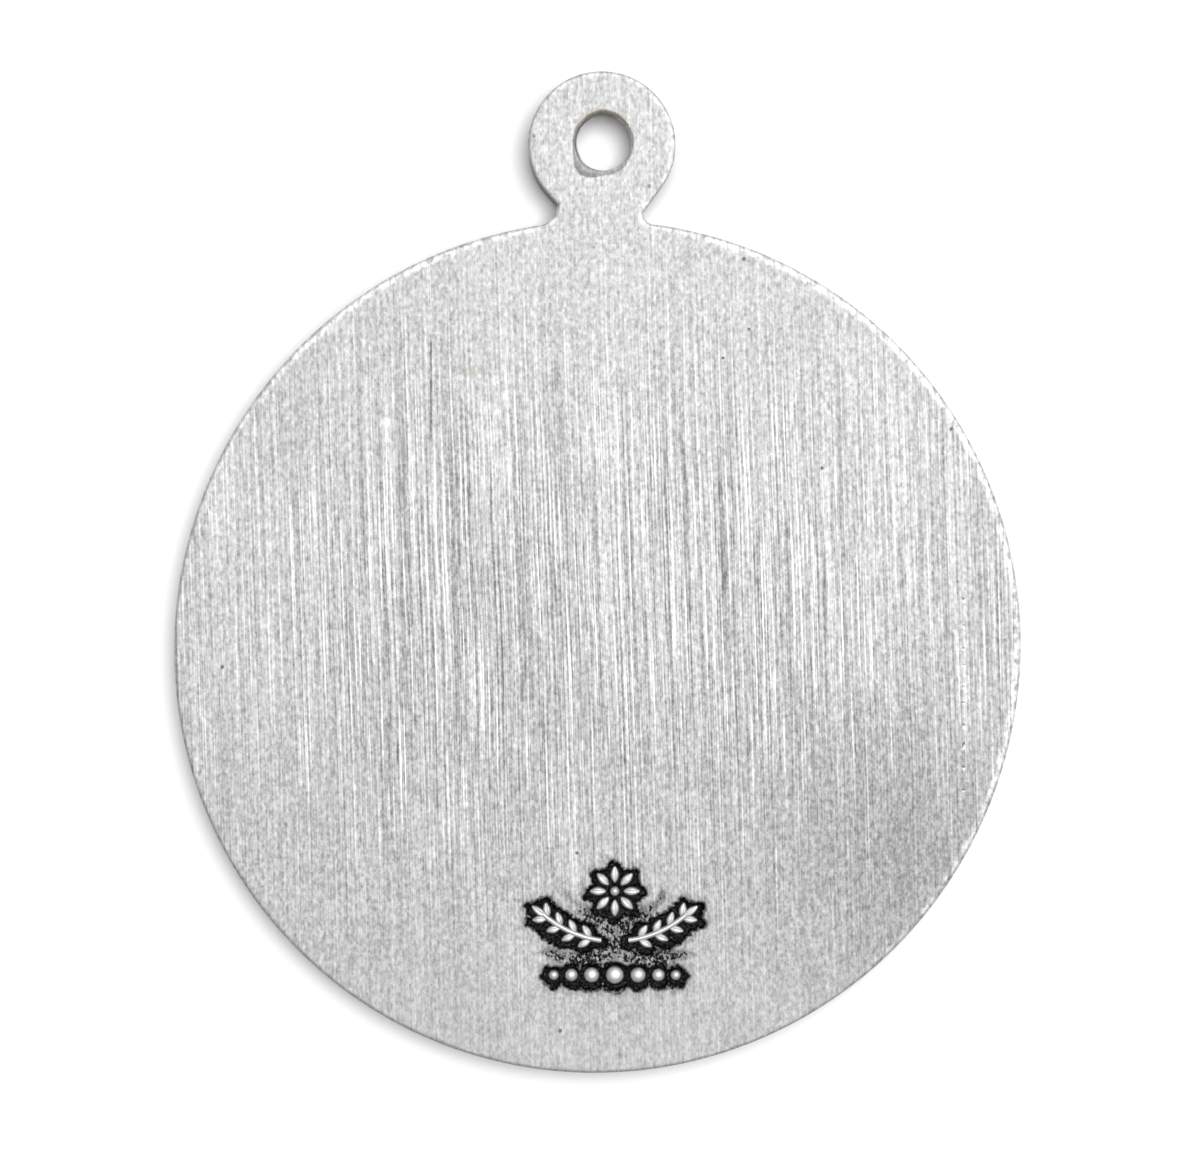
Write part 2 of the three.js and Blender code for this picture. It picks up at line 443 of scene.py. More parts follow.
class Shell:
    """Gathers the points and faces of one closed mesh, in millimetres."""

    def __init__(self):
        self.points = []
        self.faces = []
        self.marks = []
        self.count = 0

    def add(self, points, oxide=0.0, tarnish=0.0, polish=0.0):
        start = self.count
        self.points.append(points)
        marks = [np.broadcast_to(level, len(points)) for level in (oxide, tarnish, polish)]
        self.marks.append(np.stack(marks, axis=1))
        self.count += len(points)
        return start

    def band(self, loops, tarnish, polish):
        """Quads between rings of equal length. The tarnish-and-shade and polish-and-highlight marks hold
        one entry for each ring.
        """
        starts = [self.add(ring, 0.0, *marks) for ring, *marks in zip(loops, tarnish, polish)]
        for low, high in zip(starts, starts[1:]):
            self.faces += quads(low, high, len(loops[0]))

    def fill(self, outer, holes, height, spacing):
        """Flat triangles inside a loop and outside its holes, with a staggered net of points between."""
        loops = [outer, *holes]
        low, high = outer.min(axis=0), outer.max(axis=0)
        net = []
        for row, y in enumerate(np.arange(low[1], high[1], spacing * math.sqrt(3) / 2)):
            shift = spacing / 2 if row % 2 else 0.0
            net += [(x, y) for x in np.arange(low[0] + shift, high[0], spacing)]
        net = np.array(net)
        keep = within(net, outer)
        for loop in holes:
            keep &= ~within(net, loop)
        edge = np.concatenate(loops)
        near = np.min(np.linalg.norm(net[:, None] - edge[None], axis=2), axis=1)
        net = net[keep & (near > spacing * 0.4)]
        points = [tuple(p) for p in np.concatenate([edge, net])]
        edges = []
        start = 0
        for loop in loops:
            size = len(loop)
            edges += [(start + i, start + (i + 1) % size) for i in range(size)]
            start += size
        flat, _, faces, *_ = plane_geometry.delaunay_2d_cdt(points, edges, [], 0, 1e-7)
        flat = np.array([tuple(p) for p in flat])
        faces = np.array([tuple(f) for f in faces])
        middle = flat[faces].mean(axis=1)
        keep = within(middle, outer)
        for loop in holes:
            keep &= ~within(middle, loop)
        base = self.add(np.column_stack([flat, np.full(len(flat), height)]))
        self.faces += [tuple(int(base + v) for v in face) for face in faces[keep]]

    def mesh(self, name):
        """Joins everything into one mesh in metres, with its faces pointing out."""
        mesh = bpy.data.meshes.new(name)
        points = np.concatenate(self.points) * MM
        mesh.from_pydata(points.tolist(), [], self.faces)
        marks = np.concatenate(self.marks)
        for column, title in enumerate(("oxide", "tarnish", "polish")):
            layer = mesh.attributes.new(title, "FLOAT", "POINT")
            layer.data.foreach_set("value", marks[:, column].astype(np.float32))
        shape = bmesh.new()
        shape.from_mesh(mesh)
        bmesh.ops.remove_doubles(shape, verts=shape.verts, dist=WELD * MM)
        bmesh.ops.recalc_face_normals(shape, faces=shape.faces)
        loose = [v for v in shape.verts if not v.link_faces]
        bmesh.ops.delete(shape, geom=loose, context="VERTS")
        open_edges = sum(not e.is_manifold for e in shape.edges)
        shape.to_mesh(mesh)
        shape.free()
        mesh.shade_smooth()
        print(f"{name}: {len(mesh.polygons)} faces, {open_edges} open edges")
        return mesh


# Places of the ornament's forms, which the pocket follows

def leaf_places():
    """The motif of each petal and leaf, with its root, direction, length and width."""
    leaves = []
    for i in range(PETAL_COUNT):
        turn = math.pi / 2 + 2 * math.pi * i / PETAL_COUNT
        x = MARK_X + PETAL_INNER * math.cos(turn)
        y = ROSETTE_Y + PETAL_INNER * math.sin(turn)
        leaves.append(("rosette", (x, y, turn, PETAL_LENGTH, PETAL_WIDTH)))
    for side in (1, -1):
        for i in range(1, LEAF_PAIRS + 1):
            angle = SPRIG_START + SPRIG_SWEEP * (i - LEAF_SETBACK) / LEAF_PAIRS
            x = MARK_X + side * SPRIG_RADIUS * math.sin(angle)
            y = SPRIG_Y + SPRIG_RADIUS * (1 - math.cos(angle))
            along = angle if side > 0 else math.pi - angle
            leaves.append((side, (x, y, along + LEAF_ANGLE, LEAF_LENGTH, LEAF_WIDTH)))
            leaves.append((side, (x, y, along - LEAF_ANGLE, LEAF_LENGTH, LEAF_WIDTH)))
            if i == LEAF_PAIRS:
                leaves.append((side, (x, y, along, TIP_LEAF_LENGTH, LEAF_WIDTH)))
    return leaves


def bead_places():
    """The motif, centre and radius of each bead, and of the rosette's boss."""
    beads = [("rosette", MARK_X, ROSETTE_Y, BOSS_RADIUS), ("beads", MARK_X, BEAD_Y, BEAD_RADIUS)]
    for k in range(1, BEADS_EACH_SIDE + 1):
        offset = k * (2 * BEAD_RADIUS + BEAD_GAP) - BEAD_SHRINK * k * k
        radius = BEAD_RADIUS - BEAD_SHRINK * k
        beads += [("beads", MARK_X + offset, BEAD_Y, radius), ("beads", MARK_X - offset, BEAD_Y, radius)]
    return beads


def away_from_leaf(x, y, leaf):
    root_x, root_y, turn, length, width = leaf
    u = (x - root_x) * math.cos(turn) + (y - root_y) * math.sin(turn) - length / 2
    v = -(x - root_x) * math.sin(turn) + (y - root_y) * math.cos(turn)
    bow = (length**2 / width + width) / 4
    side = np.hypot(u, np.abs(v) + bow - width / 2) - bow
    tip = np.hypot(np.maximum(np.abs(u) - length / 2, 0), v)
    return np.where(np.abs(u) > length / 2, tip, side)


def away_from_stem(x, y, side):
    bend = np.hypot(x - MARK_X, y - SPRIG_Y - SPRIG_RADIUS)
    angle = np.arctan2(side * (x - MARK_X), SPRIG_Y + SPRIG_RADIUS - y)
    off = np.maximum(np.maximum(SPRIG_START - angle, angle - SPRIG_START - SPRIG_SWEEP), 0)
    return np.hypot(bend - SPRIG_RADIUS, off * SPRIG_RADIUS) - STEM_WIDTH / 2


def away_from_ornament(x, y):
    """Distances of points from the nearest and from the second nearest motif, in millimetres."""
    motifs = {"rosette": [], 1: [away_from_stem(x, y, 1)], -1: [away_from_stem(x, y, -1)], "beads": []}
    for name, leaf in leaf_places():
        motifs[name].append(away_from_leaf(x, y, leaf))
    for name, bead_x, bead_y, radius in bead_places():
        motifs[name].append(np.hypot(x - bead_x, y - bead_y) - radius)
    ranked = np.sort([np.minimum.reduce(forms) for forms in motifs.values()], axis=0)
    return ranked[0], ranked[1]


def soft_noise(x, y, cell, depth, seed):
    """Repeatable smooth unevenness from -depth to depth, from chance values on a square net."""
    chance = np.random.default_rng(seed)
    size = 64
    table = chance.uniform(-1, 1, (size, size))
    u, v = x / cell, y / cell
    i, j = np.floor(u).astype(int), np.floor(v).astype(int)
    fu, fv = soft_step(u - i, 0, 1), soft_step(v - j, 0, 1)

    def corner(a, b):
        return table[(i + a) % size, (j + b) % size]

    near = corner(0, 0) * (1 - fu) + corner(1, 0) * fu
    far = corner(0, 1) * (1 - fu) + corner(1, 1) * fu
    return depth * (near * (1 - fv) + far * fv)


def pocket_rows():
    """Columns and rows of the net that carries the pocket, as X and Y values."""
    reach = POCKET_REACH + POCKET_SLOPE + 0.2
    half = SPRIG_RADIUS * math.sin(SPRIG_START + SPRIG_SWEEP) + TIP_LEAF_LENGTH * 0.8 + reach
    low = BEAD_Y - BEAD_RADIUS - reach
    high = ROSETTE_Y + PETAL_INNER + PETAL_LENGTH + reach
    columns = np.linspace(MARK_X - half, MARK_X + half, round(2 * half / POCKET_CELL))
    rows = np.linspace(low, high, round((high - low) / POCKET_CELL))
    return columns, rows


def add_pocket(shell):
    """The sunken ground round the ornament. Returns the net's outer loop, anticlockwise."""
    columns, rows = pocket_rows()
    x, y = np.meshgrid(columns, rows, indexing="ij")
    away, second = away_from_ornament(x, y + POCKET_FALL)
    ragged = sum((soft_noise(x, y, *size) for size in RAGGED_EDGE.values()), away)
    sunk = 1 - soft_step(ragged, POCKET_REACH, POCKET_REACH + POCKET_SLOPE)
    gap = 1 - soft_step(second + soft_noise(x, y, *RAGGED_GAP), *POCKET_GAP)
    sunk = np.maximum(sunk, GAP_SUNK * gap)
    grit = sum(soft_noise(x, y, *size) for size in GRIT.values())
    inner = np.ones_like(x)
    inner[[0, -1], :] = 0
    inner[:, [0, -1]] = 0
    z = THICKNESS - sunk * (POCKET_DEPTH + grit) * inner
    near = 1 - soft_step(ragged, POCKET_REACH - 0.02, POCKET_REACH + 0.15)
    smudge = 1 - soft_step(away, POCKET_REACH, SMUDGE)
    oxide = np.maximum.reduce([near, GAP_OXIDE * gap, SMUDGE_OXIDE * smudge]) * inner
    start = shell.add(np.stack([x, y, z], axis=2).reshape(-1, 3), oxide.reshape(-1))
    high = len(rows)
    for i in range(len(columns) - 1):
        for j in range(high - 1):
            corner = start + i * high + j
            shell.faces.append((corner, corner + high, corner + high + 1, corner + 1))
    bottom = [(c, rows[0]) for c in columns[:-1]]
    right = [(columns[-1], r) for r in rows[:-1]]
    top = [(c, rows[-1]) for c in columns[:0:-1]]
    left = [(columns[0], r) for r in rows[:0:-1]]
    return np.array(bottom + right + top + left)


def turned_to(facing, degrees, reach):
    """A soft step from 0 to 1 as edges turn towards a direction. reach holds two cosines."""
    turn = math.radians(degrees)
    return soft_step(facing @ np.array([math.cos(turn), math.sin(turn)]), *reach)


def add_edge(shell, loop):
    """The medal's side with its rounded edges. Returns the flat loops above and below it."""
    angle = np.arctan2(loop[:, 1] - DISC_Y, loop[:, 0])
    facing = outward(loop)
    facing /= np.linalg.norm(facing, axis=1, keepdims=True)
    dents = wobble(angle, 11, {61: 0.35, 97: 0.3, 149: 0.25, 211: 0.2}) * EDGE_DENTS
    on_loop = soft_step(loop[:, 1], *(DISC_Y + DISC_RADIUS + height for height in LOOP_START))
    # Edges facing the light are worn wider, which is real shape, and the same mask gives them a painted
    # highlight below.
    wear_and_painted_light = turned_to(facing, WORN_AND_LIT_TURN, WORN_AND_LIT_REACH)
    upper = EDGE_ROUND + (EDGE_WORN + (EDGE_WORN_LOOP - EDGE_WORN) * on_loop) * wear_and_painted_light + dents
    fall = upper * (EDGE_FALL + (EDGE_FALL_WORN - EDGE_FALL) * wear_and_painted_light)
    lower = np.full(len(loop), EDGE_ROUND)
    near_left = turned_to(facing, LEFT_FLANK, FLANK_REACH) * on_loop
    near_right = turned_to(facing, RIGHT_FLANK, FLANK_REACH) * on_loop
    slant, undercut = LEFT_SLANT * near_left, RIGHT_UNDERCUT * near_right
    rows = [(lower + SUPPORT + undercut, 0.0)]
    for inset, rise in rounding(4)[::-1]:
        rows.append((lower * inset + undercut, lower * (1 - rise)))
    for inset, rise in rounding(7):
        rows.append((slant + upper * inset, THICKNESS - fall * (1 - rise)))
    rows.append((slant + upper + SUPPORT, THICKNESS))
    made = rings(loop, rows)
    # Painted shade with some tarnish on edges turned from the light, darker flanks on the loop, and a
    # little tarnish along the whole side.
    top = turned_to(facing, SHADE_AND_TARNISH_TURN, SHADE_AND_TARNISH_REACH) * (1 - on_loop)
    top = top + np.maximum(0.55 * near_left, 0.5 * near_right)
    side = 0.15 + 0.6 * top
    stains_and_shade = [0, 0, 0.5 * side, side, side, side, top, 0.75 * top, 0.3 * top, 0, 0, 0, 0, 0, 0]
    # Painted highlight on the worn edges that face the light, weaker on the loop.
    bright = wear_and_painted_light * (1 - 0.45 * on_loop)
    shine = [bright * share for share in (0, 0, 0, 0, 0, 0.5, 1, 1, 1, 1, 1, 1, 0.7, 0.3, 0)]
    shell.band(made, stains_and_shade, shine)
    return made[-1][:, :2], made[0][:, :2]


def add_bore(shell):
    """The loop's hole: a mouth worn to the lower left, a wall slightly tarnished and darkened by painted
    shade towards the upper left, and a plain front mouth.

    Returns the flat loops round its mouths. A polish-and-highlight level above 1 marks the drill's smooth
    wall.
    """
    loop = arc(BORE_X, BORE_Y, BORE_RADIUS, 0, 2 * math.pi, 96)[:-1]
    angle = np.arctan2(loop[:, 1] - BORE_Y, loop[:, 0] - BORE_X) % (2 * math.pi)
    wear_and_painted_light = LIP + wobble(angle, 12, {7: 0.004, 13: 0.005, 31: 0.006, 43: 0.006})
    for degrees, depth, spread in MOUTH_WEAR.values():
        wear_and_painted_light = wear_and_painted_light + depth * np.exp(-(((angle - math.radians(degrees)) / spread) ** 2))
    drop = 0.02 + 0.26 * wear_and_painted_light
    crescent = soft_step(wear_and_painted_light, LIP * 3.2, LIP * 6.5)
    rows = [
        (-(wear_and_painted_light + SUPPORT), THICKNESS),
        (-wear_and_painted_light, THICKNESS),
        (-wear_and_painted_light * 0.88, THICKNESS - drop * 0.35),
        (-wear_and_painted_light * 0.3, THICKNESS - drop * 0.8),
        (-wear_and_painted_light * 0.08, THICKNESS - drop),
        (0.0, THICKNESS - drop * 1.4),
    ]
    wall = [(0.0, THICKNESS - drop * 1.8), (0.0, THICKNESS / 2), (0.0, FRONT_MOUTH)]
    front = [(-FRONT_MOUTH * i, FRONT_MOUTH * (1 - r)) for i, r in rounding(4)[1:]]
    front.append((-(FRONT_MOUTH + SUPPORT), 0.0))
    made = rings(loop, rows + wall + front)
    for ring in made:
        depth = 1 - ring[:, 2:] / THICKNESS
        inwards = ((BORE_X, BORE_Y) - ring[:, :2]) / BORE_RADIUS
        ring[:, :2] += depth * (np.array(BORE_DRIFT) + BORE_TAPER * inwards)
    # Painted shade, turned from the light: on the wall towards the upper left and round the top of the
    # mouth, with a painted shadow along the outer edge of the worn crescent.
    wall_shade_and_tarnish = 0.03 + 0.55 * turned_to(outward(loop), BORE_SHADE_TURN, BORE_SHADE_REACH)
    wear_sheen_and_shade = turned_to(outward(loop), BORE_TOP_SHADE_TURN, BORE_TOP_SHADE_REACH)
    # Painted highlight on the lip, away from the worn crescent and the shaded top; the drilled wall is
    # left bright where it is free of painted shade.
    lip = 0.5 * (1 - crescent) * (1 - wear_sheen_and_shade)
    stains_and_shade = [0.0, 0.4 * crescent, 0.12 * crescent + 0.3 * wear_sheen_and_shade, 0.05 * crescent + 0.6 * wear_sheen_and_shade]
    stains_and_shade.append(0.25 * wall_shade_and_tarnish + 0.5 * wear_sheen_and_shade)
    stains_and_shade += [0.6 * wall_shade_and_tarnish, wall_shade_and_tarnish, 0.8 * wall_shade_and_tarnish, 0.4 * wall_shade_and_tarnish, 0.2 * wall_shade_and_tarnish]
    clean = 1 - wall_shade_and_tarnish
    shine = [0.0, 0.5 * lip, lip, lip, lip, 0.9 * clean, 2 * clean, 2 * clean, 2 * clean, 0.5 * clean]
    plain = [0.0] * (len(front) - 1)
    shell.band(made, stains_and_shade + plain, shine + plain)
    return made[0][:, :2], made[-1][:, :2]


def add_field(shell):
    """The sunk field of the front, with a soft shoulder and a soft corner at the foot of its wall."""
    outer = DISC_RADIUS - RIM_WIDTH
    corner = FIELD_SHOULDER
    rows = [(outer + SUPPORT, 0.0, 0.0)]
    rows += [(outer - corner * i, corner * (1 - r), 0.0) for i, r in rounding(4)[::-1]]
    foot = outer - FIELD_DRAFT - corner
    rows += [(foot + corner * (1 - i), FIELD_DEPTH - corner * (1 - r), 0.1) for i, r in rounding(4)]
    rows += [(foot - step, FIELD_DEPTH, stain) for step, stain in ((0.1, 0.06), (0.5, 0.0))]
    rows += [(radius, FIELD_DEPTH, 0.0) for radius in (7.0, 5.0, 3.0, 1.0)]
    steps = 288
    starts = []
    for radius, height, stain in rows:
        circle = arc(0, DISC_Y, radius, 0, 2 * math.pi, steps)[:-1]
        starts.append(shell.add(np.column_stack([circle, np.full(steps, height)]), stain))
    for low, high in zip(starts, starts[1:]):
        shell.faces += quads(low, high, steps)
    centre = shell.add(np.array([[0, DISC_Y, FIELD_DEPTH]]))
    shell.faces += [(starts[-1] + i, starts[-1] + (i + 1) % steps, centre) for i in range(steps)]
    return arc(0, DISC_Y, outer + SUPPORT, 0, 2 * math.pi, steps)[:-1]


def struck_medal(material):
    """The whole medal as one fine closed mesh."""
    shell = Shell()
    back, front = add_edge(shell, medal_outline())
    bore_back, bore_front = add_bore(shell)
    pocket = add_pocket(shell)
    field = add_field(shell)
    shell.fill(back, [bore_back, pocket], THICKNESS, 0.6)
    shell.fill(front, [bore_front, field], 0.0, 0.4)
    mesh = shell.mesh("medal_body")
    mesh.materials.append(material)
    return new_object("medal_body", mesh)


# Ornament, by Geometry Nodes

def leaf_form():
    """A leaf one unit long, wide and high, from the origin along +X, domed and grooved lengthways."""
    along, across = 16, 10
    rows = []
    for i in range(1, along):
        t = i / along
        half = 0.5 * math.sin(math.pi * t) ** 0.65
        row = []
        for j in range(across + 1):
            w = 2 * j / across - 1
            dome = math.sqrt(max(0.0, 1 - w * w)) * (0.66 + 0.34 * math.sin(math.pi * t))
            groove = 0.22 * math.exp(-((w / 0.2) ** 2)) * math.sin(math.pi * t)
            row.append((t, w * half, max(0.0, dome - groove)))
        rows.append(row)
    points = [(0, 0, 0)] + [p for row in rows for p in row] + [(1, 0, 0)]
    last = len(points) - 1
    size = across + 1

    def place(i, j):
        return 1 + i * size + j

    faces = []
    for i in range(along - 2):
        for j in range(across):
            faces.append((place(i, j), place(i + 1, j), place(i + 1, j + 1), place(i, j + 1)))
        faces.append((place(i, across), place(i + 1, across), place(i + 1, 0), place(i, 0)))
    for j in range(across):
        faces.append((0, place(0, j), place(0, j + 1)))
        faces.append((place(along - 2, j), last, place(along - 2, j + 1)))
    faces.append((0, place(0, across), place(0, 0)))
    faces.append((place(along - 2, across), last, place(along - 2, 0)))
    mesh = bpy.data.meshes.new("leaf_form")
    mesh.from_pydata(points, [], faces)
    return mesh


def bead_form():
    """A dome of radius and height one, closed underneath."""
    around, up = 28, 8
    points = []
    for k in range(up):
        lift = math.pi / 2 * k / up
        ring = math.cos(lift) ** 0.8
        for i in range(around):
            a = 2 * math.pi * i / around
            points.append((ring * math.cos(a), ring * math.sin(a), math.sin(lift)))
    points.append((0, 0, 1))
    faces = [tuple(range(around))[::-1]]
    for k in range(up - 1):
        faces += quads(k * around, (k + 1) * around, around)
    top = (up - 1) * around
    faces += [(top + i, top + (i + 1) % around, len(points) - 1) for i in range(around)]
    mesh = bpy.data.meshes.new("bead_form")
    mesh.from_pydata(points, [], faces)
    return mesh


ORNAMENT_LENGTHS = {
    "Petal inner": PETAL_INNER,
    "Petal length": PETAL_LENGTH,
    "Petal width": PETAL_WIDTH,
    "Boss radius": BOSS_RADIUS,
    "Sprig radius": SPRIG_RADIUS,
    "Stem width": STEM_WIDTH,
    "Leaf length": LEAF_LENGTH,
    "Leaf width": LEAF_WIDTH,
    "Tip leaf length": TIP_LEAF_LENGTH,
    "Bead radius": BEAD_RADIUS,
    "Bead shrink": BEAD_SHRINK,
    "Bead gap": BEAD_GAP,
    "Relief height": POCKET_DEPTH - RELIEF_SUNK + RELIEF_ROOT,
}
ORNAMENT_SIZES = {
    "Petal count": PETAL_COUNT,
    "Sprig start": SPRIG_START,
    "Sprig sweep": SPRIG_SWEEP,
    "Leaf pairs": LEAF_PAIRS,
    "Leaf setback": LEAF_SETBACK,
    "Leaf angle": LEAF_ANGLE,
    "Beads each side": BEADS_EACH_SIDE,
    **{name: length * MM for name, length in ORNAMENT_LENGTHS.items()},
}


def ornament_tree(material):
    """The ornament as a tree: leaves on an arc, petals round a boss and a row of graded beads."""
    tree = bpy.data.node_groups.new("ornament", "GeometryNodeTree")
    for name in ("Leaf", "Bead"):
        tree.interface.new_socket(name, in_out="INPUT", socket_type="NodeSocketObject")
    for name, value in ORNAMENT_SIZES.items():
        kind = "NodeSocketInt" if isinstance(value, int) else "NodeSocketFloat"
        tree.interface.new_socket(name, in_out="INPUT", socket_type=kind)
    tree.interface.new_socket("Geometry", in_out="OUTPUT", socket_type="NodeSocketGeometry")
    given = add_node(tree, "NodeGroupInput").outputs

    def result(kind, inputs=None, **settings):
        return add_node(tree, kind, inputs, **settings).outputs[0]

    def sum_of(operation, first, second):
        return result("ShaderNodeMath", {0: first, 1: second}, operation=operation)

    def plus(first, second):
        return sum_of("ADD", first, second)

    def less(first, second):
        return sum_of("SUBTRACT", first, second)

    def times(first, second):
        return sum_of("MULTIPLY", first, second)

    def vector(x, y, z):
        return result("ShaderNodeCombineXYZ", {"X": x, "Y": y, "Z": z})

    def facing(direction):
        inputs = {"Vector": direction}
        return result("FunctionNodeAlignRotationToVector", inputs, axis="X", pivot_axis="Z")

    def placed(points, form, rotation, scale, only=True):
        inputs = {"Points": points, "Instance": form, "Rotation": rotation, "Scale": scale}
        inputs["Selection"] = only
        return result("GeometryNodeInstanceOnPoints", inputs)

    def moved(geometry, x, y):
        z = POCKET_FLOOR - RELIEF_ROOT
        inputs = {"Geometry": geometry, "Translation": (x * MM, y * MM, z * MM)}
        return result("GeometryNodeTransform", inputs)

    height, pairs = given["Relief height"], given["Leaf pairs"]
    arc_y = SPRIG_Y + SPRIG_RADIUS
    leaf = add_node(tree, "GeometryNodeObjectInfo", {"Object": given["Leaf"]}).outputs["Geometry"]
    bead = add_node(tree, "GeometryNodeObjectInfo", {"Object": given["Bead"]}).outputs["Geometry"]
    parts = []

    inputs = {"Vertices": given["Petal count"], "Radius": given["Petal inner"]}
    ring = result("GeometryNodeMeshCircle", inputs)
    ray = result("GeometryNodeInputPosition")
    petal_scale = vector(given["Petal length"], given["Petal width"], height)
    petals = placed(ring, leaf, facing(ray), petal_scale)
    boss_scale = vector(given["Boss radius"], given["Boss radius"], height)
    boss = result("GeometryNodeTransform", {"Geometry": bead, "Scale": boss_scale})
    parts += [moved(petals, MARK_X, ROSETTE_Y), moved(boss, MARK_X, ROSETTE_Y)]

    first_share = sum_of("DIVIDE", less(1.0, given["Leaf setback"]), pairs)
    span_share = sum_of("DIVIDE", less(pairs, 1.0), pairs)
    leaf_scale = vector(given["Leaf length"], given["Leaf width"], height)
    tip_scale = vector(given["Tip leaf length"], given["Leaf width"], height)
    for side in (1.0, -1.0):
        start = plus(-math.pi / 2, times(given["Sprig start"], side))
        sweep = times(given["Sprig sweep"], side)
        curve = {"Resolution": 24, "Radius": given["Sprig radius"]}
        stem_arc = result("GeometryNodeCurveArc", {**curve, "Start Angle": start, "Sweep Angle": sweep})
        wire = times(given["Stem width"], 0.5)
        profile = result("GeometryNodeCurvePrimitiveCircle", {"Resolution": 12, "Radius": wire})
        stem_inputs = {"Curve": stem_arc, "Profile Curve": profile, "Fill Caps": True}
        stem = result("GeometryNodeCurveToMesh", stem_inputs)
        lift = vector(0.0, 0.0, less(height, wire))
        stem = result("GeometryNodeTransform", {"Geometry": stem, "Translation": lift})
        parts.append(moved(stem, MARK_X, arc_y))
        leaf_start = plus(start, times(sweep, first_share))
        leaf_sweep = times(sweep, span_share)
        curve.update({"Start Angle": leaf_start, "Sweep Angle": leaf_sweep})
        inputs = {"Curve": result("GeometryNodeCurveArc", curve), "Count": pairs}
        spots = add_node(tree, "GeometryNodeCurveToPoints", inputs)
        ahead = facing(spots.outputs["Tangent"])
        for turn in (1.0, -1.0):
            spin = vector(0.0, 0.0, times(given["Leaf angle"], turn))
            inputs = {"Rotation": ahead, "Rotate By": spin}
            turned = result("FunctionNodeRotateRotation", inputs, rotation_space="LOCAL")
            leaves = placed(spots.outputs["Points"], leaf, turned, leaf_scale)
            parts.append(moved(leaves, MARK_X, arc_y))
        index = result("GeometryNodeInputIndex")
        last = sum_of("COMPARE", index, less(pairs, 1.0))
        tip = placed(spots.outputs["Points"], leaf, ahead, tip_scale, last)
        parts.append(moved(tip, MARK_X, arc_y))

    beads_aside = given["Beads each side"]
    count = plus(times(beads_aside, 2.0), 1.0)
    spots = result("GeometryNodePoints", {"Count": count})
    index = result("GeometryNodeInputIndex")
    step = less(index, beads_aside)
    far = sum_of("ABSOLUTE", step, 0.0)
    pitch = plus(times(given["Bead radius"], 2.0), given["Bead gap"])
    closer = times(times(far, step), given["Bead shrink"])
    x = less(times(step, pitch), closer)
    radius = less(given["Bead radius"], times(far, given["Bead shrink"]))
    inputs = {"Geometry": spots, "Position": vector(x, 0.0, 0.0)}
    spots = result("GeometryNodeSetPosition", inputs)
    beads = placed(spots, bead, (0.0, 0.0, 0.0), vector(radius, radius, height))
    parts.append(moved(beads, MARK_X, BEAD_Y))

    joined = add_node(tree, "GeometryNodeJoinGeometry")
    for part in parts:
        tree.links.new(part, joined.inputs[0])
    real = result("GeometryNodeRealizeInstances", {"Geometry": joined.outputs[0]})
    smooth = result("GeometryNodeSetShadeSmooth", {"Geometry": real})
    dressed = result("GeometryNodeSetMaterial", {"Geometry": smooth, "Material": material})
    add_node(tree, "NodeGroupOutput", {"Geometry": dressed})
    return tree


def raised_ornament(material):
    """Rosette, sprigs and beads, made by the tree and kept as a plain mesh."""
    forms = {"Leaf": leaf_form(), "Bead": bead_form()}
    forms = {name: bpy.data.objects.new(mesh.name, mesh) for name, mesh in forms.items()}
    tree = ornament_tree(material)
    maker = new_object("ornament_maker", bpy.data.meshes.new("ornament_maker"))
    modifier = maker.modifiers.new("ornament", "NODES")
    modifier.node_group = tree
    sockets = {s.name: s.identifier for s in tree.interface.items_tree if s.in_out == "INPUT"}
    for name, value in {**forms, **ORNAMENT_SIZES}.items():
        modifier[sockets[name]] = value
    made = maker.evaluated_get(bpy.context.evaluated_depsgraph_get())
    mesh = bpy.data.meshes.new_from_object(made)
    mesh.name = "raised_ornament"
    for name in [layer.name for layer in mesh.uv_layers]:
        mesh.uv_layers.remove(mesh.uv_layers[name])
    bpy.data.objects.remove(maker)
    for form in forms.values():
        bpy.data.objects.remove(form)
    print(f"raised_ornament: {len(mesh.polygons)} faces")
    return new_object("raised_ornament", mesh)


# Finishes

def new_material(name):
    material = bpy.data.materials.new(name)
    material.use_nodes = True
    material.node_tree.nodes.clear()
    return material, material.node_tree


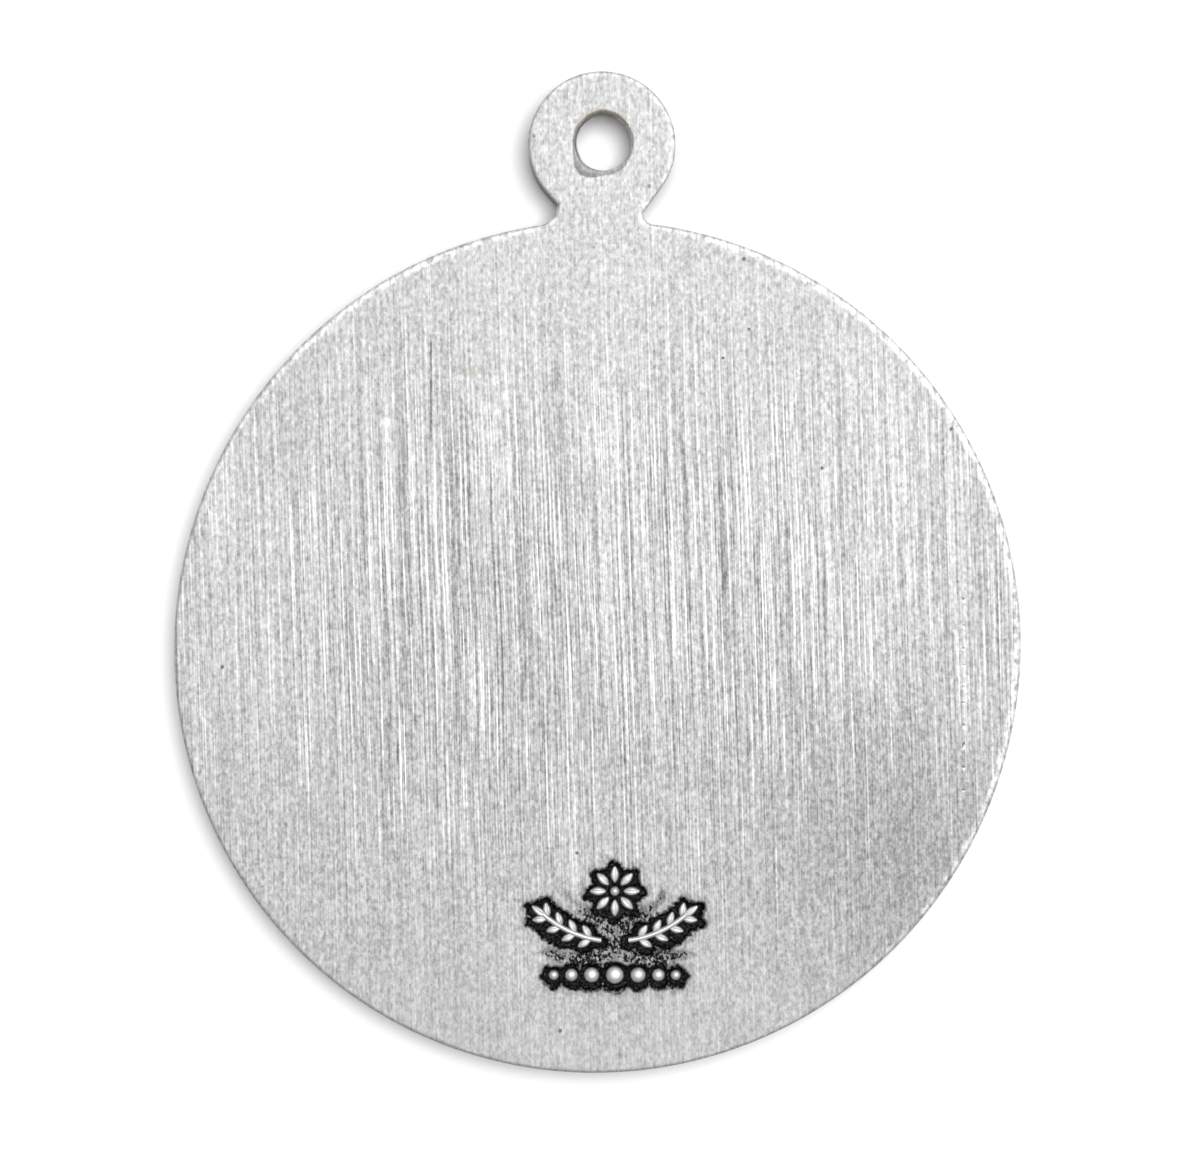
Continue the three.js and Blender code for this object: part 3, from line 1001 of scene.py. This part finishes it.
class Pattern:
    """Adds the nodes of a procedural pattern to a material, in the object's millimetres."""

    def __init__(self, tree):
        self.tree = tree
        place = add_node(tree, "ShaderNodeTexCoord").outputs["Object"]
        inputs = {0: place, 1: (1 / MM, 1 / MM, 1 / MM)}
        self.place = add_node(tree, "ShaderNodeVectorMath", inputs, operation="MULTIPLY").outputs[0]
        split = add_node(tree, "ShaderNodeSeparateXYZ", {"Vector": self.place}).outputs
        self.x, self.y, self.z = split["X"], split["Y"], split["Z"]
        self.brushed = self.place

    def math(self, operation, first, second=0.0, third=0.0, clamp=False):
        inputs = {0: first, 1: second, 2: third}
        made = add_node(self.tree, "ShaderNodeMath", inputs, operation=operation, use_clamp=clamp)
        return made.outputs[0]

    def add(self, value, share, total):
        """total plus value times share."""
        return self.math("MULTIPLY_ADD", value, share, total)

    def product(self, first, *others):
        for other in others:
            first = self.math("MULTIPLY", first, other)
        return first

    def span(self, value, low, high, start=0.0, end=1.0):
        """A soft step from start to end while value goes from low to high."""
        inputs = {"Value": value, "From Min": low, "From Max": high, "To Min": start, "To Max": end}
        made = add_node(self.tree, "ShaderNodeMapRange", inputs, interpolation_type="SMOOTHSTEP")
        return made.outputs[0]

    def lean(self):
        """Makes the brushing lean and sway a little sideways along its length."""
        shift = self.add(self.uneven("sway"), BRUSH_SWAY, self.product(self.y, BRUSH_SLOPE))
        shift = add_node(self.tree, "ShaderNodeCombineXYZ", {"X": shift}).outputs[0]
        inputs = {0: self.place, 1: shift}
        self.brushed = add_node(self.tree, "ShaderNodeVectorMath", inputs, operation="ADD").outputs[0]

    def stretched(self, across, along, seed):
        """Coordinates with the given number of units in a millimetre across and along the brushing."""
        inputs = {"Vector": self.brushed, "Scale": (across, along, across)}
        inputs["Location"] = (seed, seed * 1.7, seed * 0.3)
        return add_node(self.tree, "ShaderNodeMapping", inputs).outputs[0]

    def grain(self, name):
        """One of the noises, from 0 to 1."""
        across, along, detail, seed = GRAIN[name]
        inputs = {"Vector": self.stretched(across, along, seed), "Scale": 1.0, "Detail": detail}
        inputs["Roughness"] = 0.6
        return add_node(self.tree, "ShaderNodeTexNoise", inputs).outputs["Fac"]

    def uneven(self, name):
        """One of the noises, round zero."""
        return self.math("SUBTRACT", self.grain(name), 0.5)

    def scratches(self, name):
        """Long spots with tapered ends, one in each stretched cell: 1 in their middle, 0 between them."""
        across, along, seed, inner, outer = SCRATCHES[name]
        inputs = {"Vector": self.stretched(across, along, seed), "Scale": 1.0}
        made = add_node(self.tree, "ShaderNodeTexVoronoi", inputs, voronoi_dimensions="2D")
        return self.span(made.outputs["Distance"], inner, outer, 1.0, 0.0)

    def spot(self, x, y, inner, outer):
        """1 within the inner radius of a place, 0 beyond the outer one."""
        flat = add_node(self.tree, "ShaderNodeCombineXYZ", {"X": self.x, "Y": self.y}).outputs[0]
        made = add_node(self.tree, "ShaderNodeVectorMath", {0: flat, 1: (x, y, 0.0)}, operation="DISTANCE")
        return self.span(made.outputs["Value"], inner, outer, 1.0, 0.0)

    def photo_spot(self, column, row, radius, fade=(0.0, 1.0)):
        """A spot placed and sized in pixels. fade holds its inner and outer radius as shares."""
        inner, outer = (share * radius * PIXEL for share in fade)
        return self.spot(*from_photo(column, row), inner, outer)

    def window(self, value, low, high, soft):
        """1 while value lies between low and high, with soft ends."""
        start = self.span(value, low - soft, low)
        return self.product(start, self.span(value, high, high + soft, 1.0, 0.0))

    def upright(self, mark):
        """1 inside an upright mark, with soft sides and ends."""
        x, top = from_photo(mark["x"], mark["top"])
        bottom = from_photo(mark["x"], mark["bottom"])[1]
        side, end = mark["fade"]
        across = self.window(self.x, x - mark["half_width"], x + mark["half_width"], side)
        return self.product(across, self.window(self.y, bottom, top, end))

    def mix(self, share, first, second):
        """Goes from the first colour to the second. A colour is a socket or an sRGB code."""
        first, second = (linear(c) if isinstance(c, str) else c for c in (first, second))
        inputs = {"Factor": share, "A": first, "B": second}
        return add_node(self.tree, "ShaderNodeMix", inputs, data_type="RGBA").outputs[2]

    def level(self, name):
        return add_node(self.tree, "ShaderNodeAttribute", attribute_name=name).outputs["Fac"]

    def bump(self, height, depth):
        inputs = {"Height": height, "Strength": BUMP_STRENGTH, "Distance": depth * MM}
        return add_node(self.tree, "ShaderNodeBump", inputs).outputs[0]


def surface(tree, inputs):
    shader = add_node(tree, "ShaderNodeBsdfPrincipled", inputs)
    add_node(tree, "ShaderNodeOutputMaterial", {"Surface": shader.outputs[0]})


def from_photo(column, row):
    """A place on the medal, in millimetres, from a place in the photograph."""
    return (column - DISC_PIXEL[0]) * PIXEL, DISC_Y + (DISC_PIXEL[1] - row) * PIXEL


def below_back(depths):
    return [THICKNESS - depth for depth in depths]


def brushing(p):
    """Lightness of the brushed surface round 0.5, strongest where the belt pressed."""
    p.lean()
    column, row, radius, _ = BROAD_REFLECTIONS["low_right"]
    worked = p.product(
        p.span(p.y, *WORKED_FOOT),
        p.span(p.y, *WORKED_TOP),
        p.span(p.x, *WORKED_LEFT),
        p.span(p.x, *WORKED_RIGHT),
        p.span(p.photo_spot(column, row, radius), 0.0, 1.0, 1.0, WORKED_LOW_RIGHT),
    )
    worked = p.add(worked, 1 - UNWORKED, UNWORKED)
    worked = p.product(worked, p.span(p.z, *below_back(STREAK_FADE)))
    streaks = p.product(p.scratches("bright"), TONE_OF["bright"])
    for name in ("lines", "hairs"):
        streaks = p.add(p.uneven(name), TONE_OF[name], streaks)
    for name in ("glints", "dark"):
        streaks = p.add(p.scratches(name), TONE_OF[name], streaks)
    tone = p.add(streaks, worked, PLAIN_TONE)
    flat = p.span(p.z, *below_back(GRAIN_FADE), GRAIN_ON_SIDES, 1.0)
    flat = p.product(flat, p.span(p.y, *CALM_FOOT))
    fine = p.product(p.uneven("fine"), TONE_OF["fine"])
    tone = p.add(p.add(p.uneven("blotch"), TONE_OF["blotch"], fine), flat, tone)
    return p.add(p.uneven("patch"), TONE_OF["patch"], tone)


def wear_and_reflection_tone(p):
    """What the broad painted reflections, dark specks, one scratch and the chatter marks add to the back's
    lightness.
    """
    tone = 0.0
    # Broad painted reflections: lighter towards the top, the left and the loop, darker at the lower right.
    for column, row, radius, amount in BROAD_REFLECTIONS.values():
        tone = p.add(p.photo_spot(column, row, radius), amount, tone)
    for column, row, radius in DARK_SPECKS.values():
        tone = p.add(p.photo_spot(column, row, radius, SPECK_FADE), TONE_OF["speck"], tone)
    tone = p.add(p.upright(SCRATCH), TONE_OF["scratch"], tone)
    top = from_photo(CHATTER["x"], CHATTER["top"])[1]
    along = p.add(p.grain("chatter"), CHATTER_DRIFT, p.math("SUBTRACT", p.y, top))
    row = p.upright(CHATTER)
    for shift, amount in CHATTER_TONES.values():
        ticks = p.math("PINGPONG", p.math("ADD", along, shift), CHATTER_PITCH * PIXEL / 2)
        ticks = p.product(p.span(ticks, *CHATTER_TICK, 1.0, 0.0), row)
        tone = p.add(ticks, amount, tone)
    return tone


def brushed_sterling():
    """Sterling silver brushed lengthways on a belt: pale grey satin with long fine scratches, worn edges
    rubbed bright and given a painted highlight where they face the light, broad painted reflections on the
    back, dull grey-green with tarnish and with painted shade where edges and the bore turn from the light,
    a painted warm reflection round the head of the bore, and black with sulphide where it is sheltered.
    """
    material, tree = new_material("brushed_sterling")
    p = Pattern(tree)
    oxide, polish = p.level("oxide"), p.level("polish")
    tarnish = p.math("MINIMUM", p.level("tarnish"), 1.0)
    back = p.span(p.z, *below_back(MARK_FADE))
    # Edges marked for polish are lightened: partly real wear rubbed bright, partly a painted highlight
    # where they face the light; the noise breaks the lightening up.
    wear_sheen_and_shade = p.product(p.math("MINIMUM", polish, 1.0), p.span(p.grain("wear_sheen_and_shade"), 0.3, 0.7))
    tone = p.add(wear_sheen_and_shade, TONE_OF["wear_sheen_and_shade"], brushing(p))
    tone = p.add(wear_and_reflection_tone(p), back, tone)
    tone = p.add(p.math("MINIMUM", oxide, 0.25), TONE_OF["oxide"], tone)
    tone = p.math("ADD", tone, 0.0, clamp=True)
    colour = p.mix(tone, *SILVER)

    faint = p.product(back, STAIN_SHARE)
    colour = p.mix(p.product(p.upright(STAIN), faint), colour, BROWN_STAIN)
    for column, row, radius in RED_SPECKS.values():
        red = p.photo_spot(column, row, radius, RED_FADE)
        colour = p.mix(p.product(red, p.product(back, RED_SHARE)), colour, RED_STAIN)
    # A painted warm reflection on the lip round the head of the bore.
    inner, outer = (BORE_RADIUS + width for width in LIP_REFLECTION_WIDTH)
    head = p.span(p.y, *(BORE_Y + rise for rise in LIP_REFLECTION_RISE))
    lip_reflection = p.product(p.spot(BORE_X, BORE_Y + LIP_REFLECTION_UP, inner, outer), head)
    colour = p.mix(p.product(lip_reflection, faint), colour, BORE_LIP_REFLECTION)

    black = p.span(p.add(p.uneven("speckle"), OXIDE_SPECKLE, oxide), *OXIDE_SOLID)
    black = p.product(black, p.span(oxide, *OXIDE_STARTS))
    colour = p.mix(black, colour, p.mix(p.span(p.grain("oxide"), 0.4, 0.75), *OXIDE))
    # Tarnish, and painted shade on edges and bore walls turned from the light, take one dull grey-green.
    shaded_dull_colour = p.mix(p.span(p.grain("tarnish"), 0.3, 0.7), *TARNISH_AND_SHADE_GREENS)
    colour = p.mix(tarnish, colour, shaded_dull_colour)

    drilled = p.span(polish, 0.9, 1.6)
    clean = p.math("SUBTRACT", 1.0, tarnish)
    colour = p.mix(p.product(drilled, clean), colour, DRILLED_SILVER)
    satin = p.add(drilled, DRILLING, p.add(tone, LIGHT_TONE, SATIN))
    surface(tree, {
        "Base Color": colour,
        "Metallic": 1.0,
        "Roughness": p.span(tarnish, 0.0, 1.0, satin, TARNISHED),
        "Specular Tint": p.mix(tarnish, WHITE, TARNISHED_TINT),
        "Normal": p.bump(p.add(black, BLACK_SINKS, tone), GRAIN_DEPTH),
    })
    return material


def polished_relief():
    """Sterling relief left bright on top by polishing, with black sulphide in its lower parts."""
    material, tree = new_material("polished_relief")
    p = Pattern(tree)
    noise = p.grain("relief")
    clean = p.span(p.add(noise, 0.06, p.z), *below_back(RELIEF_FADE))
    surface(tree, {
        "Base Color": p.mix(clean, RELIEF_OXIDE, p.mix(noise, *RELIEF_SILVER)),
        "Metallic": 1.0,
        "Roughness": p.add(clean, LIGHT_TONE, RELIEF_ROUGH),
        "Normal": p.bump(noise, RELIEF_DEPTH),
    })
    return material


def plain_floor():
    """Matt white paper: the nearly white ground that the photograph was taken on."""
    material, tree = new_material("plain_floor")
    surface(tree, {"Base Color": linear(FLOOR), "Roughness": FLOOR_ROUGH})
    size = FLOOR_HALF * MM
    corners = [(-size, -size, 0), (size, -size, 0), (size, size, 0), (-size, size, 0)]
    mesh = bpy.data.meshes.new("floor")
    mesh.from_pydata(corners, [], [(0, 1, 2, 3)])
    mesh.materials.append(material)
    new_object("floor", mesh)


def studio():
    """Pale walls under a dim ceiling, and a wide far softbox that leans to the upper right."""
    world = bpy.data.worlds.new("studio")
    bpy.context.scene.world = world
    world.use_nodes = True
    tree = world.node_tree
    direction = add_node(tree, "ShaderNodeTexCoord").outputs["Generated"]
    height = add_node(tree, "ShaderNodeSeparateXYZ", {"Vector": direction}).outputs["Z"]
    low, high = SURROUND_BAND
    inputs = {"Value": height, "From Min": low, "From Max": high}
    inputs.update({"To Min": SURROUND_LOW, "To Max": SURROUND_HIGH})
    strength = add_node(tree, "ShaderNodeMapRange", inputs, interpolation_type="SMOOTHSTEP").outputs[0]
    background = tree.nodes["Background"].inputs
    tree.links.new(strength, background["Strength"])
    background["Color"].default_value = linear(WHITE)
    key = bpy.data.lights.new("far_softbox", "SUN")
    key.energy = KEY_STRENGTH
    key.angle = KEY_WIDTH
    new_object("far_softbox", key).rotation_euler = (0, KEY_LEAN, KEY_TURN)


def photograph():
    """The camera, straight above the medal and framed as the photograph is."""
    x = (PHOTO_WIDTH / 2 - DISC_PIXEL[0]) * PIXEL
    y = DISC_Y + (DISC_PIXEL[1] - PHOTO_HEIGHT / 2) * PIXEL
    data = bpy.data.cameras.new("camera")
    data.sensor_width = SENSOR
    data.lens = SENSOR * CAMERA_HEIGHT / (PHOTO_WIDTH * PIXEL)
    data.clip_start = 1 * MM
    camera = new_object("camera", data)
    camera.location = (x * MM, y * MM, (THICKNESS + CAMERA_HEIGHT) * MM)
    bpy.context.scene.camera = camera
    bpy.context.scene.view_settings.view_transform = "Standard"


photograph()
studio()
plain_floor()
medal = struck_medal(brushed_sterling())
ornament = raised_ornament(polished_relief())
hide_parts("medal")
for piece in (medal, ornament):
    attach(piece, "root")
